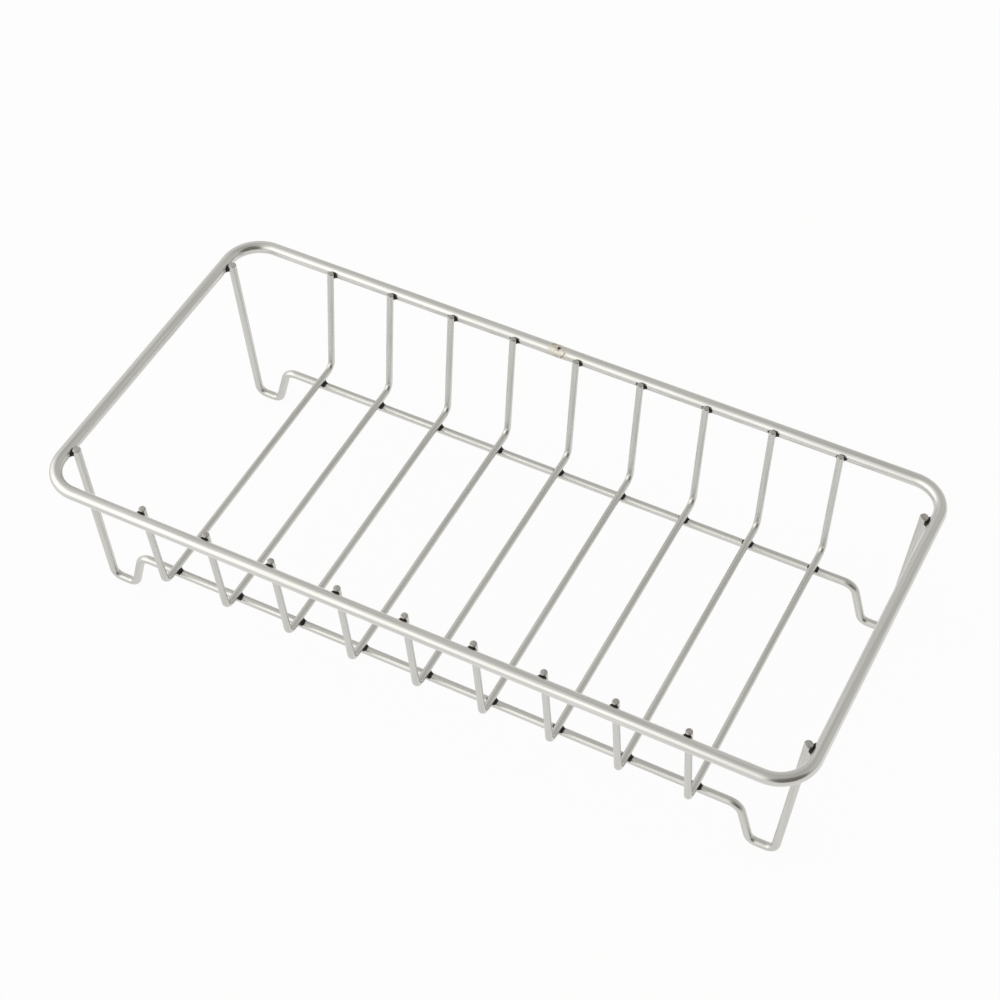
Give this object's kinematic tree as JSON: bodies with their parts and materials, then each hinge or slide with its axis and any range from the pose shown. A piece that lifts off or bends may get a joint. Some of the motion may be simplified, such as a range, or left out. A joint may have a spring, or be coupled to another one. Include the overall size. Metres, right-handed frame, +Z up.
{
  "type": "wire soap basket",
  "caption": "Open rectangular basket of welded steel wire with a thick rounded rim, U-shaped ribs as floor and long sides, and two bent runner wires that make its feet.",
  "frame": {"origin": "on the level of the feet's undersides, below the middle of the basket", "axes": "+X along the basket to the right, +Y across it to the back long side, which has the rim's butt weld, +Z up"},
  "size_m": [0.338, 0.166, 0.08],
  "materials": {
    "rim_steel": "polished stainless steel wire",
    "rib_steel": "drawn stainless steel wire, satin",
    "runner_steel": "drawn stainless steel wire, satin",
    "weld_steel": "resistance weld, heat-tinted"
  },
  "bodies": {
    "root": {"rim_wire": "rim_steel", "rim_butt_weld": "weld_steel", "rib_1": "rib_steel", "rib_2": "rib_steel", "rib_3": "rib_steel", "rib_4": "rib_steel", "rib_5": "rib_steel", "rib_6": "rib_steel", "rib_7": "rib_steel", "rib_8": "rib_steel", "rib_9": "rib_steel", "runner_front": "runner_steel", "runner_back": "runner_steel", "weld_rib_1_rim_front": "weld_steel", "weld_rib_1_rim_back": "weld_steel", "weld_rib_1_runner_front": "weld_steel", "weld_rib_1_runner_back": "weld_steel", "weld_rib_2_rim_front": "weld_steel", "weld_rib_2_rim_back": "weld_steel", "weld_rib_2_runner_front": "weld_steel", "weld_rib_2_runner_back": "weld_steel", "weld_rib_3_rim_front": "weld_steel", "weld_rib_3_rim_back": "weld_steel", "weld_rib_3_runner_front": "weld_steel", "weld_rib_3_runner_back": "weld_steel", "weld_rib_4_rim_front": "weld_steel", "weld_rib_4_rim_back": "weld_steel", "weld_rib_4_runner_front": "weld_steel", "weld_rib_4_runner_back": "weld_steel", "weld_rib_5_rim_front": "weld_steel", "weld_rib_5_rim_back": "weld_steel", "weld_rib_5_runner_front": "weld_steel", "weld_rib_5_runner_back": "weld_steel", "weld_rib_6_rim_front": "weld_steel", "weld_rib_6_rim_back": "weld_steel", "weld_rib_6_runner_front": "weld_steel", "weld_rib_6_runner_back": "weld_steel", "weld_rib_7_rim_front": "weld_steel", "weld_rib_7_rim_back": "weld_steel", "weld_rib_7_runner_front": "weld_steel", "weld_rib_7_runner_back": "weld_steel", "weld_rib_8_rim_front": "weld_steel", "weld_rib_8_rim_back": "weld_steel", "weld_rib_8_runner_front": "weld_steel", "weld_rib_8_runner_back": "weld_steel", "weld_rib_9_rim_front": "weld_steel", "weld_rib_9_rim_back": "weld_steel", "weld_rib_9_runner_front": "weld_steel", "weld_rib_9_runner_back": "weld_steel", "weld_riser_front_left": "weld_steel", "weld_riser_front_right": "weld_steel", "weld_riser_back_left": "weld_steel", "weld_riser_back_right": "weld_steel"}
  },
  "joints": []
}
